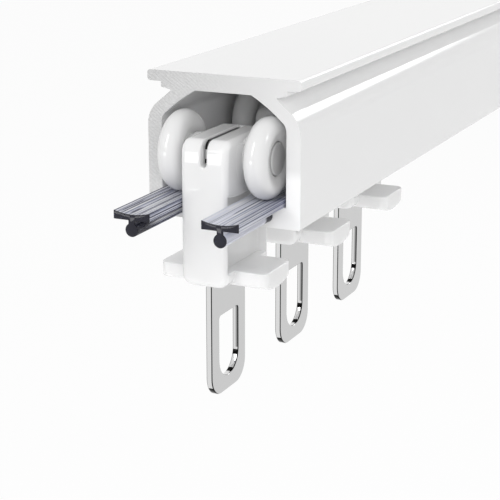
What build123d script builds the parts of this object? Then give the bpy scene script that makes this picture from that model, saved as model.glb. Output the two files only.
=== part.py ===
from build123d import *
import math
import os

# A cut length of curtain track with its running gear, at real size in millimetres.
# A white aluminium channel hangs from its flat top. Two clear running strips are pressed into
# the lips at its foot, and three carriers roll on them, each on two nylon wheels. A steel plate
# with an eye hangs from every carrier and takes the curtain hook.
# X runs across the track, Y along it and Z up. The origin is in the middle of the top face.

# Length and spacing
TRACK_LENGTH = 120.0
STRIP_OVERHANG = 13.8
CARRIER_COUNT = 3
CARRIER_SPACING = 22.6
FIRST_CARRIER_INSET = 0.7

# Channel section
WALL = 2.0
FLANGE_THICKNESS = 1.45
FLANGE_ROUND = 0.45
STEP_INSET = 2.0
STEP_DEPTH = 0.75
STEP_ROUND = 0.2
NOTCH_DEPTH = 1.55
NOTCH_RISE = 0.28
NOTCH_ROUND = 0.12
ROOF_THICKNESS = 2.35
SHOULDER_ANGLE = 40.0
SHOULDER_THICKNESS = 1.8
SHOULDER_ROUND = 3.7
INNER_SHOULDER_ANGLE = 37.3
INNER_SHOULDER_BULGE = 0.22
INNER_SHOULDER_ROUND = 1.8
LIP_FLOOR = 0.65
LIP_ROUND = 0.3
FOOT_CORNER_ROUND = 0.25

# Running strips and the grooves that hold them
STRIP_WIDTH = 5.1
STRIP_EDGE_THICKNESS = 1.15
STRIP_DISH = 0.4
STRIP_NECK_WIDTH = 0.9
STRIP_BEAD_DIAMETER = 1.8
STRIP_BEAD_DEPTH = 1.25
STRIP_EDGE_ROUND = 0.12
GROOVE_CLEARANCE = 0.05
STRIP_SIDE_CLEARANCE = 0.3

# Wheels
WHEEL_DIAMETER = 10.9
WHEEL_WIDTH = 3.3
WHEEL_HEADROOM = 2.7
ROLLING_CLEARANCE = 0.05
TYRE_SHOULDER_INSET = 0.1
WHEEL_HUB_DIAMETER = 4.6
WHEEL_HUB_PROUD = 0.25
WHEEL_WEB_RECESS = 0.3
WHEEL_DISH_DEPTH = 0.38
CAP_RECESS_CLEARANCE = 0.12
CAP_RECESS_DEPTH = 1.07

# Axle, its head and its push-on cap
AXLE_DIAMETER = 2.0
AXLE_HEAD_DIAMETER = 4.34
AXLE_HEAD_THICKNESS = 1.2
AXLE_HEAD_CHAMFER = 0.12
AXLE_TIP_CHAMFER = 0.15
CAP_SOCKET_DEPTH = 0.8
AXLE_FIT = 0.02
WHEEL_BORE_CLEARANCE = 0.05
WHEEL_SIDE_CLEARANCE = 0.07

# Carrier body
GUIDE_WIDTH = 6.6
SLOT_CLEARANCE = 0.3
BODY_ABOVE_AXLE = 2.9
BODY_TOP_ROUND = 1.7
BROW_DROP = 2.9
BROW_LEAN = 4.5
BROW_ROUND = 3.0
BODY_CORNER_ROUND = 1.5
BODY_EDGE_ROUND = 0.8
END_WALL = 1.4
BLOCK_BELOW_AXLE = 4.8
BLOCK_UNDERSIDE_BOW = 0.6
WEB_WIDTH = 3.8
POCKET_END_WALL = 0.6
POCKET_CORNER_ROUND = 0.4
POCKET_BRIM_CHAMFER = 0.15
POCKET_BRIM_SLOPE = 45.0
FOOT_DROP = 5.4
FOOT_THICKNESS = 2.0
BOSS_DIAMETER = 5.2
SADDLE_DIAMETER = 7.8
SADDLE_HEIGHT = 0.25

# Wings at the foot of the carrier body
WING_SPAN = 15.5
WING_DEPTH = 8.2
WING_EDGE_THICKNESS = 1.9
WING_BELLY = 0.9
WING_CORNER_ROUND = 1.1
WING_TOP_ROUND = 0.15
WING_FOOT_ROUND = 0.45

# Slit over the hook plate
SLIT_DROP = 3.4
SLIT_LIP_ROUND = 0.22

# Hook plate
PLATE_THICKNESS = 0.87
PLATE_WIDTH = 10.5
PLATE_FIT = 0.02
PLATE_TOP_GAP = 0.2
PLATE_HANG = 16.1
PLATE_CORNER_ROUND = 3.0
PLATE_TOP_ROUND = 1.2
EYE_WIDTH = 5.8
EYE_LENGTH = 9.0
EYE_RIM = 2.03
EYE_TOP_ROUND = 0.5

# Two pieces of an outline nearer than this are one
TOUCHING = 0.0001

# Places across the track
slot_half = GUIDE_WIDTH / 2 + SLOT_CLEARANCE
strip_x = slot_half + STRIP_WIDTH / 2
inner_half = slot_half + STRIP_WIDTH + STRIP_SIDE_CLEARANCE
outer_half = inner_half + WALL
wheel_x = strip_x

# Heights, from the ceiling face down
wheel_radius = WHEEL_DIAMETER / 2
bead_radius = STRIP_BEAD_DIAMETER / 2
wheel_top_z = -ROOF_THICKNESS - WHEEL_HEADROOM
axle_z = wheel_top_z - wheel_radius
running_z = axle_z - wheel_radius - ROLLING_CLEARANCE
strip_top_z = running_z + STRIP_DISH
lip_top_z = strip_top_z - STRIP_EDGE_THICKNESS
bead_z = lip_top_z - STRIP_BEAD_DEPTH
track_bottom_z = bead_z - bead_radius - GROOVE_CLEARANCE - LIP_FLOOR
body_top_z = axle_z + BODY_ABOVE_AXLE
block_bottom_z = axle_z - BLOCK_BELOW_AXLE
foot_top_z = track_bottom_z - FOOT_DROP
body_bottom_z = foot_top_z - FOOT_THICKNESS
plate_top_z = body_top_z - PLATE_TOP_GAP
plate_bottom_z = body_bottom_z - PLATE_HANG

# Places along the track
near_end_y = -TRACK_LENGTH / 2
first_carrier_y = near_end_y + FIRST_CARRIER_INSET
body_depth = PLATE_WIDTH + 2 * END_WALL
slit_width = PLATE_THICKNESS + 2 * PLATE_FIT

# Wheel stations, measured along the axle from the middle of the track
tyre_radius = WHEEL_WIDTH / 2
wheel_inner_face = wheel_x - tyre_radius - WHEEL_HUB_PROUD
wheel_outer_face = wheel_x + tyre_radius
dish_edge = wheel_outer_face - WHEEL_DISH_DEPTH
cap_seat = dish_edge - CAP_RECESS_DEPTH
cap_recess_radius = AXLE_HEAD_DIAMETER / 2 + CAP_RECESS_CLEARANCE
boss_face = wheel_inner_face - WHEEL_SIDE_CLEARANCE
head_inner_face = cap_seat + WHEEL_SIDE_CLEARANCE


# Half of the channel's outline, closed along the middle of the track
def channel_half():
    step_half = outer_half - STEP_INSET
    notch_half = step_half - NOTCH_DEPTH
    step_z = -FLANGE_THICKNESS - STEP_DEPTH
    notch_z = step_z - NOTCH_RISE
    shoulder = math.radians(SHOULDER_ANGLE)
    shoulder_z = notch_z - (outer_half - notch_half) * math.tan(shoulder)
    inner_drop = (SHOULDER_THICKNESS - WALL * math.sin(shoulder)) / math.cos(shoulder)
    inner_shoulder_z = shoulder_z - inner_drop
    inner = math.radians(INNER_SHOULDER_ANGLE)
    roof_half = inner_half - (-ROOF_THICKNESS - inner_shoulder_z) / math.tan(inner)

    flange_top = (outer_half, 0)
    flange_foot = (outer_half, -FLANGE_THICKNESS)
    step_root = (step_half, -FLANGE_THICKNESS)
    step_tip = (step_half, step_z)
    notch_tip = (notch_half, notch_z)
    outer_corner = (outer_half, shoulder_z)
    outer_foot = (outer_half, track_bottom_z)
    lip_foot = (slot_half, track_bottom_z)
    lip_tip = (slot_half, lip_top_z)
    lip_root = (inner_half, lip_top_z)
    inner_corner = (inner_half, inner_shoulder_z)
    roof_corner = (roof_half, -ROOF_THICKNESS)
    bulge = (
        (inner_half + roof_half) / 2 + INNER_SHOULDER_BULGE * math.sin(inner),
        (inner_shoulder_z - ROOF_THICKNESS) / 2 + INNER_SHOULDER_BULGE * math.cos(inner),
    )

    outline = Polyline(
        (0, 0), flange_top, flange_foot, step_root, step_tip, notch_tip, outer_corner,
        outer_foot, lip_foot, lip_tip, lip_root, inner_corner,
    )
    shoulder_arc = ThreePointArc(inner_corner, bulge, roof_corner)
    roof = Polyline(roof_corner, (0, -ROOF_THICKNESS), (0, 0))
    section = make_face(Wire(outline.edges() + [shoulder_arc.edge()] + roof.edges()))

    rounds = (
        (flange_top, FLANGE_ROUND), (flange_foot, FLANGE_ROUND), (step_tip, STEP_ROUND),
        (notch_tip, NOTCH_ROUND), (outer_corner, SHOULDER_ROUND), (outer_foot, FOOT_CORNER_ROUND),
        (lip_foot, LIP_ROUND), (lip_tip, LIP_ROUND), (inner_corner, INNER_SHOULDER_ROUND),
    )
    for corner, radius in rounds:
        section = fillet(section.vertices().sort_by_distance((*corner, 0))[0], radius)
    return section - strip_groove()


# The keyhole in a lip that the strip's bead snaps into
def strip_groove():
    radius = bead_radius + GROOVE_CLEARANCE
    mouth = STRIP_NECK_WIDTH + 2 * GROOVE_CLEARANCE
    bore = Pos(strip_x, bead_z) * Circle(radius)
    throat = Pos(strip_x, bead_z) * Rectangle(
        mouth, STRIP_BEAD_DEPTH, align=(Align.CENTER, Align.MIN)
    )
    return bore + throat


# One aluminium extrusion: flat flange, sloping shoulders, two walls and two grooved lips
def track_profile():
    half = channel_half()
    section = half + mirror(half, Plane.YZ)
    return extrude(Plane.XZ * section, TRACK_LENGTH / 2, both=True)


# One clear plastic extrusion: a dished running band on a neck and a round bead
def running_strip(side):
    left = -STRIP_WIDTH / 2
    right = STRIP_WIDTH / 2
    band = make_face(
        Wire([
            Line((left, lip_top_z), (right, lip_top_z)),
            Line((right, lip_top_z), (right, strip_top_z)),
            ThreePointArc((right, strip_top_z), (0, running_z), (left, strip_top_z)),
            Line((left, strip_top_z), (left, lip_top_z)),
        ])
    )
    band = fillet(band.vertices().group_by(Axis.Y)[-1], STRIP_EDGE_ROUND)
    neck = Pos(0, bead_z) * Rectangle(
        STRIP_NECK_WIDTH, STRIP_BEAD_DEPTH, align=(Align.CENTER, Align.MIN)
    )
    bead = Pos(0, bead_z) * Circle(bead_radius)
    section = Pos(side * strip_x, 0) * (band + neck + bead)
    length = TRACK_LENGTH + STRIP_OVERHANG
    far_end = Plane.XZ.offset(near_end_y)
    return extrude(far_end * section, length)


# Nylon wheel, turned about the axle: round tyre, dished outer face, recess for the axle's head
def wheel(side):
    tyre_centre = wheel_radius - tyre_radius
    shoulder_reach = tyre_radius - TYRE_SHOULDER_INSET
    shoulder_fall = math.sqrt(tyre_radius ** 2 - shoulder_reach ** 2)
    bore = AXLE_DIAMETER / 2 + WHEEL_BORE_CLEARANCE
    hub = WHEEL_HUB_DIAMETER / 2
    web_face = wheel_x - shoulder_reach + WHEEL_WEB_RECESS
    tyre_start = (wheel_x - shoulder_reach, tyre_centre - shoulder_fall)
    tyre_crown = (wheel_x, wheel_radius)
    tyre_end = (wheel_x + shoulder_reach, tyre_centre - shoulder_fall)
    inside = Polyline(
        (wheel_inner_face, bore), (wheel_inner_face, hub), (web_face, hub), tyre_start
    )
    tyre = ThreePointArc(tyre_start, tyre_crown, tyre_end)
    outside = Polyline(
        tyre_end, (dish_edge, cap_recess_radius), (cap_seat, cap_recess_radius),
        (cap_seat, bore), (wheel_inner_face, bore),
    )
    section = make_face(Wire(inside.edges() + [tyre.edge()] + outside.edges()))
    turned = Pos(0, 0, axle_z) * revolve(section, Axis.X)
    return turned if side > 0 else mirror(turned, Plane.YZ)


# Steel pin with a flat head at the right wheel and a plain tip inside the cap at the left one
def axle():
    tip = -head_inner_face - CAP_SOCKET_DEPTH + AXLE_FIT
    shank = Pos(tip, 0, axle_z) * Rot(0, 90, 0) * Cylinder(
        AXLE_DIAMETER / 2, head_inner_face - tip, align=(Align.CENTER, Align.CENTER, Align.MIN)
    )
    shank = chamfer(shank.edges().filter_by(GeomType.CIRCLE).sort_by(Axis.X)[0], AXLE_TIP_CHAMFER)
    return shank + head_disc()


# The flat disc that closes the right wheel, also the blank of the cap on the left
def head_disc():
    disc = Pos(head_inner_face, 0, axle_z) * Rot(0, 90, 0) * Cylinder(
        AXLE_HEAD_DIAMETER / 2, AXLE_HEAD_THICKNESS, align=(Align.CENTER, Align.CENTER, Align.MIN)
    )
    rim = disc.edges().filter_by(GeomType.CIRCLE).sort_by(Axis.X)[-1]
    return chamfer(rim, AXLE_HEAD_CHAMFER)


# Push-on cap with a blind socket for the axle's tip
def axle_cap():
    blank = mirror(head_disc(), Plane.YZ)
    socket = Pos(-head_inner_face, 0, axle_z) * Rot(0, -90, 0) * Cylinder(
        AXLE_DIAMETER / 2 + AXLE_FIT, CAP_SOCKET_DEPTH,
        align=(Align.CENTER, Align.CENTER, Align.MIN),
    )
    return blank - socket


# A rectangle in the side view, from its two heights and its depth along the track
def side_rectangle(depth, low_z, high_z):
    return Plane.YZ * Pos(0, (low_z + high_z) / 2) * Rectangle(depth, high_z - low_z)


# The block's side view, whose ends lean in a little near the top so that it enters the track
def block_outline():
    reach = body_depth / 2
    brow_z = body_top_z - BROW_DROP
    top_reach = reach - BROW_DROP * math.tan(math.radians(BROW_LEAN))
    outline = make_face(
        Polyline(
            (-reach, body_bottom_z), (reach, body_bottom_z), (reach, brow_z),
            (top_reach, body_top_z), (-top_reach, body_top_z), (-reach, brow_z), close=True,
        )
    )
    outline = fillet(outline.vertices().group_by(Axis.Y)[-1], BODY_TOP_ROUND)
    brow = outline.vertices().group_by(Axis.Y)[1]
    return fillet(brow, BROW_ROUND)


# The moulded block before anything is cut from it, with soft edges all round
def body_block():
    block = extrude(Plane.YZ * block_outline(), GUIDE_WIDTH / 2, both=True)
    along = block.edges().filter_by(Axis.Y).group_by(Axis.Z)
    block = fillet(along[0], BODY_CORNER_ROUND)
    rims = block.faces().filter_by(Axis.X).edges() + block.faces().filter_by(Axis.Y).edges()
    smooth = rims.filter_by(Axis.Y).group_by(Axis.Z)[0] + rims.filter_by(Axis.X).group_by(Axis.Z)[-1]
    return fillet([edge for edge in rims if edge not in smooth], BODY_EDGE_ROUND)


# The recess in one flank that leaves only a web between the block and the foot, with a bevelled brim
def flank_pocket(side):
    reach = body_depth / 2 - POCKET_END_WALL
    roof_edge = block_bottom_z + BLOCK_UNDERSIDE_BOW
    outline = make_face(
        Wire([
            Line((-reach, foot_top_z), (reach, foot_top_z)),
            Line((reach, foot_top_z), (reach, roof_edge)),
            ThreePointArc((reach, roof_edge), (0, block_bottom_z), (-reach, roof_edge)),
            Line((-reach, roof_edge), (-reach, foot_top_z)),
        ])
    )
    pocket = extrude(Plane.YZ.offset(WEB_WIDTH / 2) * outline, GUIDE_WIDTH)
    corners = pocket.edges().filter_by(Axis.Z).group_by(Axis.X)[0]
    pocket = fillet(corners, POCKET_CORNER_ROUND)
    brim_plane = Plane.YZ.offset(GUIDE_WIDTH / 2 - POCKET_BRIM_CHAMFER)
    pocket = pocket + extrude(brim_plane * outline, 2 * POCKET_BRIM_CHAMFER, taper=-POCKET_BRIM_SLOPE)
    return pocket if side > 0 else mirror(pocket, Plane.YZ)


# The plate across the foot: flat on top, bowed underneath, with rounded corners
def body_wings():
    half = WING_DEPTH / 2
    edge_z = foot_top_z - WING_EDGE_THICKNESS
    outline = make_face(
        Wire([
            Line((-half, foot_top_z), (half, foot_top_z)),
            Line((half, foot_top_z), (half, edge_z)),
            ThreePointArc((half, edge_z), (0, edge_z - WING_BELLY), (-half, edge_z)),
            Line((-half, edge_z), (-half, foot_top_z)),
        ])
    )
    wings = extrude(Plane.YZ * outline, WING_SPAN / 2, both=True)
    wings = fillet(wings.edges().filter_by(Axis.Z), WING_CORNER_ROUND)
    wings = fillet(wings.faces().sort_by(Axis.Z)[-1].edges(), WING_TOP_ROUND)
    return fillet(wings.faces().sort_by(Axis.Z)[0].edges(), WING_FOOT_ROUND)


# The round seat on one flank that the wheel's hub runs against
def axle_boss(side):
    flank = GUIDE_WIDTH / 2
    collar = Pos(0, 0, axle_z) * Rot(0, 90, 0) * Cylinder(
        BOSS_DIAMETER / 2, boss_face, align=(Align.CENTER, Align.CENTER, Align.MIN)
    )
    cone = Pos(flank, 0, axle_z) * Rot(0, 90, 0) * Cone(
        SADDLE_DIAMETER / 2, BOSS_DIAMETER / 2, SADDLE_HEIGHT,
        align=(Align.CENTER, Align.CENTER, Align.MIN),
    )
    shoulder_z = body_top_z - BODY_EDGE_ROUND
    keep = Pos(flank, 0, shoulder_z) * Box(
        GUIDE_WIDTH, SADDLE_DIAMETER, SADDLE_DIAMETER, align=(Align.CENTER, Align.CENTER, Align.MAX)
    )
    boss = collar + (cone & keep)
    return boss if side > 0 else mirror(boss, Plane.YZ)


# The room for the hook plate, open below
def plate_room():
    depth = PLATE_WIDTH + 2 * PLATE_FIT
    top_z = plate_top_z + PLATE_FIT
    below = body_bottom_z - WING_BELLY - FOOT_THICKNESS
    return extrude(side_rectangle(depth, below, top_z), slit_width / 2, both=True)


# The slit that opens the plate's room above and in front, with a round lower end
def plate_slit():
    slit_front = -body_depth / 2 - END_WALL
    slit_back = PLATE_WIDTH / 2 + PLATE_FIT
    slit_low = body_top_z - SLIT_DROP + slit_width / 2
    slit_depth = slit_back - slit_front
    slit = Pos(0, (slit_front + slit_back) / 2, slit_low) * Box(
        slit_width, slit_depth, SLIT_DROP, align=(Align.CENTER, Align.CENTER, Align.MIN)
    )
    slit_end = Pos(0, slit_front, slit_low) * Rot(-90, 0, 0) * Cylinder(
        slit_width / 2, slit_depth, align=(Align.CENTER, Align.CENTER, Align.MIN)
    )
    return slit + slit_end


# The block with the slit cut through it and the slit's mouth rounded
def slit_block():
    block = body_block()
    slit = plate_slit()
    skin = block.shells()[0]
    walls = slit.shells()[0]
    slotted = block - slit - plate_room()
    mouth = []
    for edge in slotted.edges():
        middle = Vertex(*(edge @ 0.5))
        if skin.distance_to(middle) < TOUCHING and walls.distance_to(middle) < TOUCHING:
            mouth.append(edge)
    return fillet(mouth, SLIT_LIP_ROUND)


# White nylon body: block, web and winged foot, bored for the axle and slit over the hook plate
def carrier_body():
    body = slit_block()
    body = body - flank_pocket(1) - flank_pocket(-1)
    body = body + body_wings()
    body = body + axle_boss(1) + axle_boss(-1)
    body = body - plate_room()
    bore = Pos(0, 0, axle_z) * Rot(0, 90, 0) * Cylinder(AXLE_DIAMETER / 2 + AXLE_FIT, 2 * wheel_x)
    return body - bore


# Stamped steel plate: round lower corners, a long eye for the hook and a hole for the axle
def eye_plate():
    blank = side_rectangle(PLATE_WIDTH, plate_bottom_z, plate_top_z)
    blank = extrude(blank, PLATE_THICKNESS / 2, both=True)
    corners = blank.edges().filter_by(Axis.X).group_by(Axis.Z)
    blank = fillet(corners[0], PLATE_CORNER_ROUND)
    corners = blank.edges().filter_by(Axis.X).group_by(Axis.Z)
    blank = fillet(corners[-1], PLATE_TOP_ROUND)
    eye_round = EYE_WIDTH / 2
    eye_low = plate_bottom_z + EYE_RIM
    eye_high = eye_low + EYE_LENGTH
    window = side_rectangle(EYE_WIDTH, eye_low + eye_round, eye_high)
    window = extrude(window, PLATE_THICKNESS, both=True)
    window = fillet(window.edges().filter_by(Axis.X).group_by(Axis.Z)[-1], EYE_TOP_ROUND)
    bowl = Pos(0, 0, eye_low + eye_round) * Rot(0, 90, 0) * Cylinder(eye_round, 2 * PLATE_THICKNESS)
    pin_hole = Pos(0, 0, axle_z) * Rot(0, 90, 0) * Cylinder(
        AXLE_DIAMETER / 2 + AXLE_FIT, 2 * PLATE_THICKNESS
    )
    return blank - window - bowl - pin_hole


# Writes one sub-part, moved to its place along the track
def save(piece, name, along=0.0):
    placed = Pos(0, along, 0) * piece
    export_step(placed, os.path.join("parts", name + ".step"))


os.makedirs("parts", exist_ok=True)
save(track_profile(), "track_profile")
save(running_strip(-1), "running_strip_left")
save(running_strip(1), "running_strip_right")
for number in range(1, CARRIER_COUNT + 1):
    carrier_y = first_carrier_y + (number - 1) * CARRIER_SPACING
    save(carrier_body(), f"carrier_body_{number}", carrier_y)
    save(eye_plate(), f"eye_plate_{number}", carrier_y)
    save(axle(), f"axle_{number}", carrier_y)
    save(axle_cap(), f"axle_cap_{number}", carrier_y)
    save(wheel(-1), f"wheel_left_{number}", carrier_y)
    save(wheel(1), f"wheel_right_{number}", carrier_y)
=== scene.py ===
import math

import bpy
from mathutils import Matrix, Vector


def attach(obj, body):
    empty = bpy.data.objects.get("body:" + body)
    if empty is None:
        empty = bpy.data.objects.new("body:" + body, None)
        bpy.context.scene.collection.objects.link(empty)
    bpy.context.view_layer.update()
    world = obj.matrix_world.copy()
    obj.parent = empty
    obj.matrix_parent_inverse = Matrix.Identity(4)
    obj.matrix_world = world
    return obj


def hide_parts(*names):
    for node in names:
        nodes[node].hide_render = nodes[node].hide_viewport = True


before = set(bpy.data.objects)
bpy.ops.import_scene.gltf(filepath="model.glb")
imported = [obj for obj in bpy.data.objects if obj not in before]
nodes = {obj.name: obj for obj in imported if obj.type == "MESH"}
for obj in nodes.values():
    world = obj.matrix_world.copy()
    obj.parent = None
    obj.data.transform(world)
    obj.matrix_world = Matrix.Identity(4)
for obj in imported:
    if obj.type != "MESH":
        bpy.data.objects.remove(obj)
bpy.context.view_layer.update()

# Camera
# A long lens at the front right, a little above the track, so that the sawn end faces it and the
# top of the flange shows as a narrow band.
camera_place = (0.085249, -0.236563, 0.032975)
camera_dip, camera_swing = 16.053, 24.744
bpy.ops.object.camera_add(
    location=camera_place,
    rotation=(math.radians(90 - camera_dip), 0, math.radians(camera_swing)),
)
camera = bpy.context.object
camera.data.lens = 110.63
camera.data.sensor_width = 36
camera.data.clip_start = 0.01
bpy.context.scene.camera = camera
bpy.context.scene.view_settings.view_transform = "Standard"


# Room and floor
# A white studio. The room and the floor show white to the lens, and in steel and clear plastic,
# while what they shed on the track stays at a plain level. The floor still takes its shadow.
class Value:
    """One output socket of a node tree. Arithmetic on it adds Math nodes."""

    def __init__(self, recipe, socket):
        self.recipe = recipe
        self.socket = socket

    def maths(self, operation, first, second=0.0):
        return self.recipe.node("ShaderNodeMath", {"operation": operation}, {0: first, 1: second})

    def __add__(self, other):
        return self.maths("ADD", self, other)

    __radd__ = __add__

    def __sub__(self, other):
        return self.maths("SUBTRACT", self, other)

    def __rsub__(self, other):
        return self.maths("SUBTRACT", other, self)

    def __mul__(self, other):
        return self.maths("MULTIPLY", self, other)

    __rmul__ = __mul__

    def __truediv__(self, other):
        return self.maths("DIVIDE", self, other)

    def __rtruediv__(self, other):
        return self.maths("DIVIDE", other, self)

    def __gt__(self, other):
        return self.maths("GREATER_THAN", self, other)

    def __lt__(self, other):
        return self.maths("LESS_THAN", self, other)

    def __abs__(self):
        return self.maths("ABSOLUTE", self)

    def within(self, low, high):
        """1 between low and high, and 0 outside them."""
        return (self > low) * (self < high)

    def wave(self):
        return self.maths("SINE", self)

    def root(self):
        return self.maths("SQRT", self)

    def larger(self, other):
        return self.maths("MAXIMUM", self, other)

    def ramp(self, low, high):
        """0 below low, 1 above high and a smooth rise between them."""
        return self.recipe.node(
            "ShaderNodeMapRange", {"interpolation_type": "SMOOTHSTEP"},
            {"Value": self, "From Min": low, "From Max": high},
        )


class Recipe:
    """A node tree that is being mixed."""

    def __init__(self, tree):
        self.tree = tree

    def feed(self, socket, value):
        if isinstance(value, Value):
            self.tree.links.new(value.socket, socket)
        else:
            socket.default_value = value

    def node(self, kind, settings, sockets, output=0):
        added = self.tree.nodes.new(kind)
        for setting, value in settings.items():
            setattr(added, setting, value)
        for name, value in sockets.items():
            self.feed(added.inputs[name], value)
        return Value(self, added.outputs[output])

    def blend(self, share, first, second):
        """A colour between two colours. Mix takes colours at sockets 6 and 7 and gives one at 2."""
        return self.node("ShaderNodeMix", {"data_type": "RGBA"}, {0: share, 6: first, 7: second}, 2)

    def grey_from(self, level):
        """A grey whose level changes over the surface."""
        return self.node("ShaderNodeCombineColor", {}, {0: level, 1: level, 2: level})

    def seen(self):
        """1 for a ray from the lens, or one that steel or clear plastic sends on."""
        direct = self.node("ShaderNodeLightPath", {}, {}, "Is Camera Ray")
        mirrored = self.node("ShaderNodeLightPath", {}, {}, "Is Glossy Ray")
        through = self.node("ShaderNodeLightPath", {}, {}, "Is Transmission Ray")
        return direct.larger(mirrored).larger(through)


class Finish(Recipe):
    """A material, and the shader that it ends in. Its colour and roughness are plain ones, which
    stand until a pattern is fed in over them."""

    def __init__(self, name, colour, roughness, **constants):
        self.material = bpy.data.materials.new(name)
        self.material.use_nodes = True
        super().__init__(self.material.node_tree)
        self.shader = self.tree.nodes["Principled BSDF"]
        self.set("Base Color", colour)
        self.set("Roughness", roughness)
        for socket, value in constants.items():
            self.set(socket.replace("_", " "), value)

    def set(self, socket, value):
        self.feed(self.shader.inputs[socket], value)

    def place(self, kind="Object"):
        """The point's three object coordinates, or with "Normal" the way it faces."""
        here = self.node("ShaderNodeTexCoord", {}, {}, kind)
        return [self.node("ShaderNodeSeparateXYZ", {}, {0: here}, axis) for axis in range(3)]

    def noise(self, x, y, z, detail=2.0):
        point = self.node("ShaderNodeCombineXYZ", {}, {0: x, 1: y, 2: z})
        return self.node(
            "ShaderNodeTexNoise", {}, {"Vector": point, "Scale": 1.0, "Detail": detail}
        )

    def raise_surface(self, height, distance, strength=1.0):
        bump = {"Height": height, "Distance": distance, "Strength": strength}
        self.set("Normal", self.node("ShaderNodeBump", {}, bump))


def grey(level):
    return (level, level, level, 1)


def deselect():
    bpy.ops.object.select_all(action="DESELECT")


plain_level, white = grey(0.39), grey(1)
room = bpy.data.worlds.new("white_studio")
room.use_nodes = True
bpy.context.scene.world = room
walls = Recipe(room.node_tree)
wall_colour = walls.blend(walls.seen(), plain_level, white)
walls.feed(walls.tree.nodes["Background"].inputs["Color"], wall_colour)

floor_size, floor_height = 6, -0.16
deselect()
bpy.ops.mesh.primitive_plane_add(size=floor_size, location=(0, 0, floor_height))
floor = bpy.context.object
floor.name = "floor"
paint = Finish("floor_paint", grey(0.9), 0.9, Specular_IOR_Level=0)
glow = paint.node("ShaderNodeEmission", {}, {"Color": white})
glow_share = paint.seen() * 0.95
matt = Value(paint, paint.shader.outputs[0])
surface = paint.node("ShaderNodeMixShader", {}, {0: glow_share, 1: matt, 2: glow})
paint.feed(paint.tree.nodes["Material Output"].inputs["Surface"], surface)
floor.data.materials.append(paint.material)

# Lamps
# Soft boxes stand round the near end of the track and face it. The three large ones only light it,
# and the others also draw the highlights on the white mouldings.
near_end = Vector((0, -0.06, -0.012))
for name, direction, distance, size, watts, mirrored in (
    ("front_left_box", (-0.30, -0.79, 0.52), 0.62, (0.13, 0.36), 0.85, True),
    ("low_left_box", (-0.42, -0.90, -0.06), 0.62, (0.20, 0.09), 0.21, True),
    ("front_right_box", (0.45, -0.85, 0.32), 0.80, (0.80, 0.60), 2.75, False),
    ("right_box", (0.90, 0.25, 0.45), 0.62, (0.14, 0.18), 0.32, True),
    ("overhead_box", (-0.15, 0.10, 0.98), 0.60, (0.36, 0.36), 0.50, False),
    ("high_rear_box", (0.04, 0.50, 0.87), 0.60, (0.18, 0.16), 0.30, True),
    ("low_box", (0.0, 0.12, -0.99), 0.125, (0.34, 0.40), 0.10, False),
    ("rear_box", (0.25, 0.89, 0.36), 0.64, (0.30, 0.12), 0.44, True),
):
    bpy.ops.object.light_add(type="AREA")
    lamp = bpy.context.object
    lamp.name = name
    lamp.data.shape = "RECTANGLE"
    lamp.data.size, lamp.data.size_y = size
    lamp.data.energy = watts
    lamp.visible_camera = False
    lamp.visible_glossy = mirrored
    way = Vector(direction).normalized()
    lamp.location = near_end + way * distance
    lamp.rotation_euler = way.to_track_quat("Z", "Y").to_euler()


# The channel
# One aluminium extrusion with a smooth white coat, cut to length after coating. The saw has left
# the bare ends grey, with fine slanting marks that are plainest at the left. Painted light makes
# the ends lighter towards the right and the bottom, and near white in the lower right corner.
# The hollow is painted whiter than the outside, as painted light against its shade.
mm = 0.001
hair = 0.01 * mm
flange_width, track_height, track_end = 22 * mm, 19.6 * mm, 60 * mm
hollow_half, hollow_foot, hollow_roof = 9.1 * mm, -16.8 * mm, -2.3 * mm
shoulder_slope, shoulder_peak = 0.79, 1.6 * mm
saw_across, saw_down, saw_curve = 0.62, 0.78, 6.0
saw_pitch, saw_waver = 0.36 * mm, 5.0
coat_colour, coat_roughness, saw_roughening = grey(0.915), 0.14, 0.3
hollow_painted_light, sawn_level, corner_painted_light = grey(0.985), 0.53, grey(0.95)
mark_height = 0.012 * mm

coat = Finish("white_coated_aluminium", coat_colour, coat_roughness)
x, y, z = coat.place()
sawn = abs(y) > track_end - hair
across = x / flange_width + 0.5
down = z / -track_height
saw_line = x * saw_across + z * saw_down + (x * x + z * z) * saw_curve
wander = coat.noise(x * 700, y, z * 700) * saw_waver
saw_marks = (saw_line * (2 * math.pi / saw_pitch) + wander).wave()
fade = 1 - across.ramp(0.25, 0.62)
# Painted light on the sawn ends: lighter to the right and the bottom, near white at the lower
# right.
low_right_painted_light = across.ramp(0.76, 0.86) * down.ramp(0.58, 0.68)
grit = coat.noise(x * 2600, y, z * 4200, 3.0) - 0.5
shade = sawn_level + across * 0.20 + down * 0.12 + (saw_marks * 0.016 + grit * 0.22) * fade
sawn_colour_and_light = coat.blend(low_right_painted_light, coat.grey_from(shade), corner_painted_light)
# Painted light: the hollow under the shoulders is painted whiter than the outside, against its
# shade.
under_shoulders = z + abs(x) * shoulder_slope < shoulder_peak
hollow = (abs(x) < hollow_half) * z.within(hollow_foot, hollow_roof) * under_shoulders
coat_with_hollow_light = coat.blend(hollow, coat_colour, hollow_painted_light)
coat.set("Base Color", coat.blend(sawn, coat_with_hollow_light, sawn_colour_and_light))
coat.set("Roughness", coat_roughness + sawn * saw_roughening)
die_lines = coat.noise(x * 2600, y * 12, z * 2600) * (1 - sawn) * 0.25
coat.raise_surface(die_lines + saw_marks * fade * sawn, mark_height)
nodes["track_profile"].material_slots[0].material = coat.material


# The running strips
# Clear plastic extrusions that snap into the lips and carry the wheels: a dished band on a neck
# and a round bead. They are sawn off in front of the channel, and faint drawn lines run along them.
# Their colour carries painted reflections and highlights as streaks and lines along them, painted
# light on the right strip below its band, painted shadows on the beads and the outer band, and
# painted shade on the cut ends and their rims.
along_x, along_y, upright = (0, math.pi / 2, 0), (math.pi / 2, 0, 0), (0, 0, 0)


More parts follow.
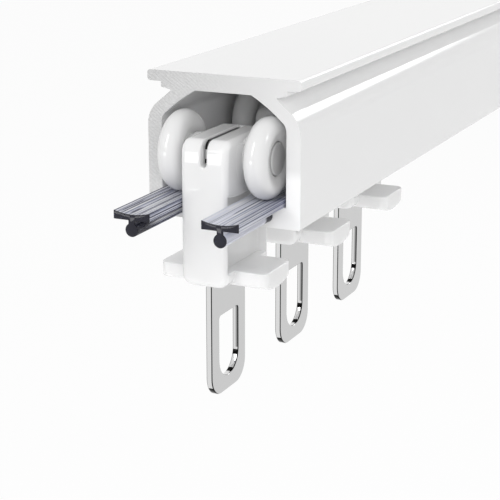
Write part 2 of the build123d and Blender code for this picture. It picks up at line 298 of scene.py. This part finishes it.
def take(piece):
    """Selects a piece alone and makes it the active one."""
    deselect()
    piece.select_set(True)
    bpy.context.view_layer.objects.active = piece


def settle(piece):
    """Puts a piece's place, turn and scale into its mesh."""
    take(piece)
    bpy.ops.object.transform_apply(location=True, rotation=True, scale=True)


def block(place, size):
    deselect()
    bpy.ops.mesh.primitive_cube_add(size=1, location=place, scale=size)
    return bpy.context.object


def rod(radius, length, place, turn, facets):
    deselect()
    bpy.ops.mesh.primitive_cylinder_add(
        vertices=facets, radius=radius, depth=length, location=place, rotation=turn
    )
    return bpy.context.object


def pick_none(kind):
    """Leaves the active piece with nothing selected in its mesh, in face or edge selection."""
    bpy.ops.object.mode_set(mode="EDIT")
    bpy.ops.mesh.select_mode(type=kind)
    bpy.ops.mesh.select_all(action="DESELECT")
    bpy.ops.object.mode_set(mode="OBJECT")


def pick_faces(piece, wanted):
    """Goes into edit mode with the faces selected whose centre and normal are wanted."""
    pick_none("FACE")
    for face in piece.data.polygons:
        face.select = wanted(face.center, face.normal)
    bpy.ops.object.mode_set(mode="EDIT")


def pick_edges(piece, wanted):
    """Goes into edit mode with the edges selected whose middle and direction are wanted."""
    pick_none("EDGE")
    points = piece.data.vertices
    for edge in piece.data.edges:
        start, end = (points[v].co for v in edge.vertices)
        edge.select = wanted((start + end) / 2, (end - start).normalized())
    bpy.ops.object.mode_set(mode="EDIT")


def apply_modifier(piece, kind, **settings):
    take(piece)
    modifier = piece.modifiers.new(kind.lower(), kind)
    for setting, value in settings.items():
        setattr(modifier, setting, value)
    bpy.ops.object.modifier_apply(modifier=modifier.name)


def ease_edges(piece, width, segments, degrees, **settings):
    """Bevels a piece's edges that are sharper than an angle."""
    apply_modifier(
        piece, "BEVEL", width=width, segments=segments, limit_method="ANGLE",
        angle_limit=math.radians(degrees), **settings,
    )


def carve(piece, tool, operation="DIFFERENCE"):
    """Cuts a tool from a piece or adds it to the piece, and throws the tool away."""
    apply_modifier(piece, "BOOLEAN", object=tool, operation=operation, solver="EXACT")
    bpy.data.objects.remove(tool)


def smooth(piece, degrees=30):
    take(piece)
    bpy.ops.object.shade_smooth_by_angle(angle=math.radians(degrees))


def seat(piece, name, body, slot, material, *replaced):
    """Names a finished piece, gives it its finish and hangs it on its body."""
    piece.name = name
    piece.data.materials.clear()
    piece.data.materials.append(material)
    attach(piece, body)
    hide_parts(*replaced)


strip_offset = 6.15 * mm
band_width, dish_depth, band_ease = 5.1 * mm, 0.4 * mm, 0.08 * mm
band_foot, band_top = -16.75 * mm, -15.6 * mm
neck_width, bead_radius, bead_height = 0.9 * mm, 0.9 * mm, -18.0 * mm
neck_foot, neck_top = bead_height, band_foot + 0.2 * mm
strip_start, strip_end = -73.8 * mm, track_end
strip_middle, strip_length = (strip_start + strip_end) / 2, strip_end - strip_start
dish_radius = ((band_width / 2) ** 2 + dish_depth ** 2) / (2 * dish_depth)
cut_depth, cut_rim_depth, merge_reach = 0.02 * mm, 0.14 * mm, 0.004 * mm

navy_reflection, glint = (0.012, 0.012, 0.05, 1), (1, 1, 1, 1)
dusky, pale, under_band_painted_light = (0.30, 0.32, 0.42, 1), (0.80, 0.82, 0.92, 1), (0.85, 0.86, 0.95, 1)
bead_shadow, band_shadow = (0.004, 0.004, 0.014, 1), (0.12, 0.13, 0.26, 1)
cut_end_painted_shade, cut_rim_painted_shade = (0.012, 0.012, 0.024, 1), (0.001, 0.001, 0.004, 1)

clear = Finish(
    "clear_drawn_plastic", pale, 0.06, Transmission_Weight=0.30, IOR=1.49, Specular_IOR_Level=0.3
)
x, y, z = clear.place()
drawn_and_painted_streaks = clear.noise(x * 2100, y * 9, z * 2100)
fine_painted_streaks = clear.noise(x * 5200 + 40, y * 14, z * 5200)
from_end = strip_length / 2 - abs(y - strip_middle)
cut = from_end < cut_depth
cut_rim = (from_end < cut_rim_depth) * (1 - cut)
# Painted reflections and highlights: dusky and pale streaks, fine white glints and navy streaks.
plastic = clear.blend(drawn_and_painted_streaks.ramp(0.34, 0.58), dusky, pale)
plastic = clear.blend(fine_painted_streaks.ramp(0.58, 0.63) * 0.9, plastic, glint)
plastic = clear.blend((1 - fine_painted_streaks.ramp(0.34, 0.38)) * 0.8, plastic, navy_reflection)

# Painted reflection lines in navy and painted highlight lines in white, in mm: where each lies
# across, half its width, and where it starts and stops.
line_fade = 2
for centre, half, start, stop, tint in (
    (-7.95, 0.13, -74, -66, navy_reflection), (-7.40, 0.15, -74, -61, glint), (-6.60, 0.30, -74, -69, navy_reflection),
    (-6.05, 0.12, -74, -62, glint), (-5.35, 0.10, -74, -58, navy_reflection), (-4.60, 0.13, -74, -60, glint),
    (4.15, 0.12, -68, -60, glint), (5.40, 0.09, -69, -59, navy_reflection), (5.72, 0.13, -70, -58, glint),
    (6.60, 0.10, -74, -64, glint), (7.45, 0.08, -66, -58, navy_reflection), (7.80, 0.12, -74, -60, glint),
):
    fade_in = y.ramp(start * mm, (start + line_fade) * mm)
    fade_out = y.ramp((stop - line_fade) * mm, stop * mm)
    beside = abs(x - centre * mm).ramp(half * 0.5 * mm, half * mm)
    line = (1 - beside) * (fade_in * (1 - fade_out))
    plastic = clear.blend(line * 0.85, plastic, tint)

below, right_strip = z < band_foot, x > 0
left_strip = 1 - right_strip
# Painted dark reflections: navy streaks on the left strip and towards the right strip's outer edge.
left_streaks = left_strip * (1 - fine_painted_streaks.ramp(0.42, 0.47))
right_streaks = right_strip * x.ramp(6.2 * mm, 7.4 * mm) * (1 - fine_painted_streaks.ramp(0.40, 0.44))
plastic = clear.blend((left_streaks + right_streaks) * 0.85, plastic, navy_reflection)
# Painted light: the right strip is painted lighter below its band.
plastic = clear.blend(below * right_strip * 0.6, plastic, under_band_painted_light)
left_bead = left_strip * (1 - y.ramp(-72 * mm, -66 * mm))
right_bead = right_strip * y.ramp(-62.4 * mm, -61.4 * mm)
plastic = clear.blend(below * (left_bead + right_bead) * 0.95, plastic, bead_shadow)
outer_band = right_strip * (1 - below) * x.ramp(6.0 * mm, 8.4 * mm) * y.ramp(-72 * mm, -60 * mm)
plastic = clear.blend(outer_band * 0.5, plastic, band_shadow)
# Painted shade: the cut ends and their rims are painted dark.
plastic = clear.blend(cut, plastic, cut_end_painted_shade)
clear.set("Base Color", clear.blend(cut_rim, plastic, cut_rim_painted_shade))
clear.raise_surface(drawn_and_painted_streaks, 0.006 * mm, 0.5)

for side, name in ((-1, "running_strip_left"), (1, "running_strip_right")):
    centre = side * strip_offset
    strip = block(
        (centre, strip_middle, (band_foot + band_top) / 2),
        (band_width, strip_length, band_top - band_foot),
    )
    settle(strip)
    dish_axis = (centre, strip_middle, band_top - dish_depth + dish_radius)
    carve(strip, rod(dish_radius, strip_length * 1.1, dish_axis, along_y, 256))
    neck = block(
        (centre, strip_middle, (neck_foot + neck_top) / 2),
        (neck_width, strip_length, neck_top - neck_foot),
    )
    carve(strip, neck, "UNION")
    bead = rod(bead_radius, strip_length, (centre, strip_middle, bead_height), along_y, 48)
    carve(strip, bead, "UNION")
    bpy.ops.object.mode_set(mode="EDIT")
    bpy.ops.mesh.select_all(action="SELECT")
    bpy.ops.mesh.remove_doubles(threshold=merge_reach)
    bpy.ops.mesh.dissolve_limited(angle_limit=math.radians(0.5))
    bpy.ops.object.mode_set(mode="OBJECT")
    ease_edges(strip, band_ease, 2, 40, use_clamp_overlap=False)
    smooth(strip)
    seat(strip, f"clear_{name}", "track", "clear_plastic", clear.material, name)


# The wheels
# Turned nylon wheels, white and polished, with a round tyre, a dished outer face, a recess for
# the axle's head and a hub that runs against the carrier. Six alike, each turned to face outward.
def white_nylon(name, level, glow, depth):
    """White nylon that light enters a little way, with the faint waviness of the mould."""
    polish, wave_height = 0.02, 0.02 * mm
    nylon = Finish(
        name, grey(level), polish, Specular_IOR_Level=0.75,
        Subsurface_Weight=glow, Subsurface_Radius=(1, 1, 1), Subsurface_Scale=depth,
    )
    x, y, z = nylon.place()
    waviness = nylon.noise(x * 420, y * 420, z * 420)
    nylon.raise_surface(waviness, wave_height, 0.4)
    nylon.set("Roughness", polish + waviness * 0.03)
    return nylon.material


def inset(thickness, depth=0.0):
    bpy.ops.mesh.inset(thickness=thickness, depth=depth, use_even_offset=True)


def push(distance):
    bpy.ops.mesh.extrude_region_move(TRANSFORM_OT_translate={"value": (0, 0, distance)})


def copy_of(blank):
    """A copy that has its own mesh."""
    copy = blank.copy()
    copy.data = blank.data.copy()
    bpy.context.collection.objects.link(copy)
    return copy


wheel_radius, wheel_width = 5.45 * mm, 3.3 * mm
tyre_round, rim_ease = 1.6 * mm, 0.07 * mm
shoulder_inset, shoulder_drop = 0.6 * mm, 0.1 * mm
recess_radius, recess_depth, dish_drop = 2.29 * mm, 1.07 * mm, 0.28 * mm
hub_radius, hub_height, web_drop = 2.3 * mm, 0.65 * mm, 0.3 * mm
bore_radius = 1.05 * mm
dish_edge = wheel_radius - tyre_round - shoulder_inset
flat, near_axis = 0.99, 0.5 * mm
axle_height = -10.5 * mm
carriage_places = (-59.3 * mm, -36.7 * mm, -14.1 * mm)

wheel_nylon = white_nylon("polished_wheel_nylon", 0.80, 0.25, 1.0 * mm)
wheel_blank = rod(wheel_radius, wheel_width, (0, 0, 0), upright, 96)
pick_edges(wheel_blank, lambda middle, way: abs(middle.z) > wheel_width / 2 - hair)
bpy.ops.mesh.bevel(offset=tyre_round, segments=16, affect="EDGES")
bpy.ops.object.mode_set(mode="OBJECT")
for face_side, ring, drop, step in (
    (1, recess_radius, dish_drop, recess_depth), (-1, hub_radius, web_drop, hub_height),
):
    pick_faces(
        wheel_blank,
        lambda centre, normal: normal.z * face_side > flat and centre.xy.length < near_axis,
    )
    inset(shoulder_inset / 2, -shoulder_drop * 0.25)
    inset(shoulder_inset / 2, -shoulder_drop * 0.75)
    inset(dish_edge - ring, -drop)
    push(-step)
    inset(ring - bore_radius)
    bpy.ops.object.mode_set(mode="OBJECT")
pick_faces(
    wheel_blank, lambda centre, normal: abs(normal.z) > flat and centre.xy.length < near_axis
)
bpy.ops.mesh.bridge_edge_loops()
bpy.ops.mesh.select_all(action="SELECT")
bpy.ops.mesh.normals_make_consistent(inside=False)
bpy.ops.object.mode_set(mode="OBJECT")
ease_edges(wheel_blank, rim_ease, 3, 35)
for number, along in enumerate(carriage_places, 1):
    for side, hand in ((-1, "left"), (1, "right")):
        wheel = copy_of(wheel_blank)
        wheel.rotation_euler = (0, side * math.pi / 2, 0)
        wheel.location = (side * strip_offset, along, axle_height)
        settle(wheel)
        smooth(wheel)
        name = f"wheel_{hand}_{number}"
        seat(wheel, f"nylon_{name}", name, "white_nylon", wheel_nylon, name)
bpy.data.objects.remove(wheel_blank)


# The carrier bodies
# White nylon mouldings, a block on a web and a winged foot, with a slit over the hook plate. The
# gloss is the mould's, with the faint waviness of a thick moulding that has shrunk as it cooled.
body_nylon = white_nylon("moulded_body_nylon", 0.835, 0.8, 2.0 * mm)
for number in (1, 2, 3):
    nodes[f"carrier_body_{number}"].material_slots[0].material = body_nylon


# The axles and their caps
# Steel pins with a flat turned head in the right wheel, and a push-on cap of the same size in the
# left one. The steel is dull and grey, with turning rings round the pin's own line.
dull_level, ring_pitch, ring_height = 0.50, 0.09 * mm, 0.002 * mm
for number, along in enumerate(carriage_places, 1):
    dull = Finish(f"dull_turned_steel_{number}", grey(dull_level), 0.5, Metallic=0.25)
    x, y, z = dull.place()
    radius = ((y - along) * (y - along) + (z - axle_height) * (z - axle_height)).root()
    rings = (radius * (2 * math.pi / ring_pitch)).wave()
    dull.raise_surface(rings, ring_height)
    level = dull_level + dull.noise(x * 500, y * 500, z * 500) * 0.05 + rings * 0.008
    dull.set("Base Color", dull.grey_from(level))
    nodes[f"axle_{number}"].material_slots[0].material = dull.material
    nodes[f"axle_cap_{number}"].material_slots[0].material = dull.material


# The hook plates
# Stamped from bright steel strip, with round lower corners and a long eye for the curtain hook.
# The punch has left the faces flat and the rims rolled over. The rims are painted lighter as a
# reflection, and thin painted dark reflections run along the front rims, round the lower corners
# and at the foot of the eye.
plate_thickness, plate_width = 0.87 * mm, 10.5 * mm
plate_foot, plate_top = -43.1 * mm, -7.8 * mm
eye_width, eye_foot, eye_top = 5.8 * mm, -41.07 * mm, -32.07 * mm
corner_round, top_round, eye_round = 3.0 * mm, 1.2 * mm, 0.5 * mm
bowl_round = eye_width / 2 - hair
pin_hole_radius, rolled_edge, grain_height = 1.02 * mm, 0.16 * mm, 0.002 * mm
line_reach, dark_top, shade_spot_foot, shade_spot_top = 3 * mm, -8.9 * mm, -10.7 * mm, -10.15 * mm
plate_level, plate_roughness, dark_reflection_colour = 0.562, 0.06, grey(0.006)


def stamped_steel(number, middle):
    """Bright flat faces and rims painted lighter as a reflection, with painted dark reflections as
    lines round the front of the outline, the lower corners and the foot of the eye, a band in the
    eye that darkens towards the +X face, painted shade on the top edge and a painted shade band on
    the rims at the axle's height."""
    steel = Finish(
        f"bright_stamped_steel_{number}", grey(plate_level), plate_roughness, Metallic=1.0
    )
    x, y, z = steel.place()
    nx, ny, nz = steel.place("Normal")
    flatness = abs(nx)
    rim = 1 - flatness.ramp(0.1, 0.6)
    beside_middle = abs(y - middle) < eye_width / 2 + 0.1 * mm
    in_eye = beside_middle * z.within(eye_foot + bowl_round, eye_top)
    # The eye's inner walls are painted darker towards the +X face.
    eye_dark_band = in_eye * rim * x.ramp(-0.15 * mm, 0.36 * mm)
    grain = steel.noise(x * 600, y * 2600, z * 60)
    # Painted reflection: the rims are painted lighter than the faces.
    level = plate_level + grain * 0.012 + rim * 0.13
    faces = steel.blend(eye_dark_band, steel.grey_from(level), grey(0.10))
    # Painted dark reflections: thin lines along the front rims, round the lower corners and at the
    # eye's foot.
    to_front = ny < -0.2
    front_rim = rim * to_front
    rim_painted_reflection = to_front * flatness.within(0.30, 0.96)
    corner_reflection_bands = nz.within(-0.86, -0.50) + nz.within(-0.98, -0.93)
    corner = front_rim * corner_reflection_bands * (z < plate_foot + line_reach)
    bowl_reflection_bands = nz.within(0.12, 0.36) + nz.within(0.86, 0.97)
    bowl = front_rim * bowl_reflection_bands * (z < eye_foot + line_reach)
    faces = steel.blend((rim_painted_reflection + corner + bowl) > 0.5, faces, dark_reflection_colour)
    # Painted shade: the plate's top edge, down in the body's slit, is painted dark.
    slit_shade_band = rim * (z > dark_top)
    slit_shade_colour = steel.blend(x < -0.03 * mm, grey(0.18), grey(0.008))
    faces = steel.blend(slit_shade_band, faces, slit_shade_colour)
    # Painted shade: a dark band on the rims at the axle's height, for the shade deep in the slit.
    slit_shade_spot = rim * z.within(shade_spot_foot, shade_spot_top)
    steel.set("Base Color", steel.blend(slit_shade_spot, faces, grey(0.02)))
    steel.set("Roughness", plate_roughness + grain * 0.03)
    steel.raise_surface(grain, grain_height, 0.1)
    return steel.material


def sheet_shape(width, foot, top, thickness, foot_round, head_round):
    """An upright flat bar with its four corners rounded."""
    bar = block((0, 0, (foot + top) / 2), (thickness, width, top - foot))
    settle(bar)
    pick_edges(bar, lambda middle, way: abs(way.x) > 0.9 and middle.z < (foot + top) / 2)
    bpy.ops.mesh.bevel(offset=foot_round, segments=24, affect="EDGES")
    bpy.ops.object.mode_set(mode="OBJECT")
    pick_edges(bar, lambda middle, way: abs(way.x) > 0.9 and middle.z > top - hair)
    bpy.ops.mesh.bevel(offset=head_round, segments=10, affect="EDGES")
    bpy.ops.object.mode_set(mode="OBJECT")
    return bar


punch_length = 3 * plate_thickness
plate_blank = sheet_shape(
    plate_width, plate_foot, plate_top, plate_thickness, corner_round, top_round
)
eye_punch = sheet_shape(eye_width, eye_foot, eye_top, punch_length, bowl_round, eye_round)
carve(plate_blank, eye_punch)
carve(plate_blank, rod(pin_hole_radius, punch_length, (0, 0, axle_height), along_x, 48))
smooth(plate_blank)
ease_edges(plate_blank, rolled_edge, 4, 50)
smooth(plate_blank, 60)
apply_modifier(plate_blank, "WEIGHTED_NORMAL", weight=50)
for number, along in enumerate(carriage_places, 1):
    plate = copy_of(plate_blank)
    plate.location = (0, along, 0)
    settle(plate)
    name, steel = f"eye_plate_{number}", stamped_steel(number, along)
    seat(plate, f"steel_{name}", f"carrier_{number}", "bright_steel", steel, name)
bpy.data.objects.remove(plate_blank)
